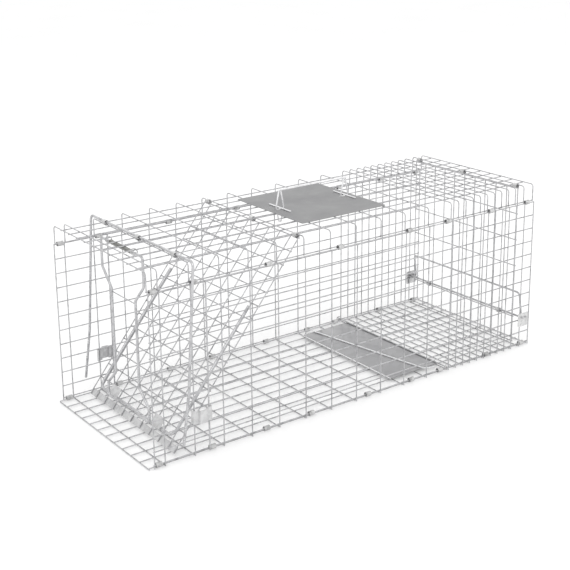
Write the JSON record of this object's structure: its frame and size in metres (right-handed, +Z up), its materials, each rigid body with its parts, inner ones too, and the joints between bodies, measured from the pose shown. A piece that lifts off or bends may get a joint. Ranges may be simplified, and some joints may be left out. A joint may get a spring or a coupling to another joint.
{
  "type": "live_catch_cage_trap",
  "caption": "One-door live catch cage trap of welded wire mesh with sloping drop door, gravity lock bail, treadle, carry handle with hand guard and folding rear wall.",
  "frame": {"origin": "middle of the footprint, on the ground", "axes": "X runs from the door end (-X) to the rear wall (+X), Y across the cage, Z up"},
  "size_m": [0.9382, 0.371, 0.396],
  "materials": {
    "welded_wire": "galvanised, bright",
    "ring_wire": "dull zinc, darker than the mesh",
    "bright_rod": "zinc plated, satin",
    "zinc_sheet": "galvanised sheet, satin",
    "spring_steel": "dark oiled spring steel"
  },
  "bodies": {
    "cage": {"floor_panel": "welded_wire", "near_side_panel": "welded_wire", "far_side_panel": "welded_wire", "top_panel": "welded_wire", "lower_seam_clips": "ring_wire", "upper_seam_clips": "ring_wire", "door_hinge_clips": "ring_wire", "rear_hinge_clips": "ring_wire", "lock_bail_rings": "ring_wire", "outer_bail_clips": "ring_wire", "treadle_hinge_rings": "ring_wire", "near_door_post": "bright_rod", "far_door_post": "bright_rod", "near_catch_plate": "zinc_sheet", "far_catch_plate": "zinc_sheet", "guard_plate": "zinc_sheet", "carry_handle": "bright_rod", "handle_cross_pins": "bright_rod", "rear_lock_rod": "bright_rod", "rear_clips": "ring_wire", "near_latch_bracket": "zinc_sheet", "far_latch_bracket": "zinc_sheet"},
    "door": {"door_panel": "welded_wire", "door_sill_strip": "zinc_sheet", "door_frame_rod": "bright_rod", "near_lock_lug": "zinc_sheet", "far_lock_lug": "zinc_sheet"},
    "lock_bail": {"lock_bail": "bright_rod", "lock_bail_tie": "bright_rod", "lock_bail_spring": "spring_steel"},
    "outer_bail": {"outer_bail": "bright_rod"},
    "treadle": {"treadle_plate": "zinc_sheet", "treadle_arm": "bright_rod", "treadle_hinge_rod": "bright_rod"},
    "rear_wall": {"rear_panel": "welded_wire"},
    "rear_bail": {"rear_bail": "bright_rod"}
  },
  "joints": [
    {"name": "door_hinge", "type": "hinge", "parent": "cage", "child": "door", "pos_m": [-0.133, 0, 0.3485], "axis": [0, 1, 0], "range_deg": [0, 44]},
    {"name": "lock_bail_swing", "type": "hinge", "parent": "cage", "child": "lock_bail", "pos_m": [-0.411, 0, 0.3476], "axis": [0, 1, 0], "range_deg": [0, 79.2]},
    {"name": "outer_bail_swing", "type": "hinge", "parent": "cage", "child": "outer_bail", "pos_m": [-0.375, 0, 0.3588], "axis": [0, 1, 0], "range_deg": [0, 95]},
    {"name": "treadle_tilt", "type": "hinge", "parent": "cage", "child": "treadle", "pos_m": [0.227, 0, 0.00925], "axis": [0, 1, 0], "range_deg": [0, 8]},
    {"name": "rear_wall_fold", "type": "hinge", "parent": "cage", "child": "rear_wall", "pos_m": [0.441, 0, 0.3485], "axis": [0, 1, 0], "range_deg": [0, 80]},
    {"name": "rear_bail_swing", "type": "hinge", "parent": "cage", "child": "rear_bail", "pos_m": [0.455, 0, 0.066], "axis": [0, 1, 0], "range_deg": [0, 165]}
  ],
  "couplings": [
    {"joint": "lock_bail_swing", "follows": "door_hinge", "ratio": 1.8}
  ]
}
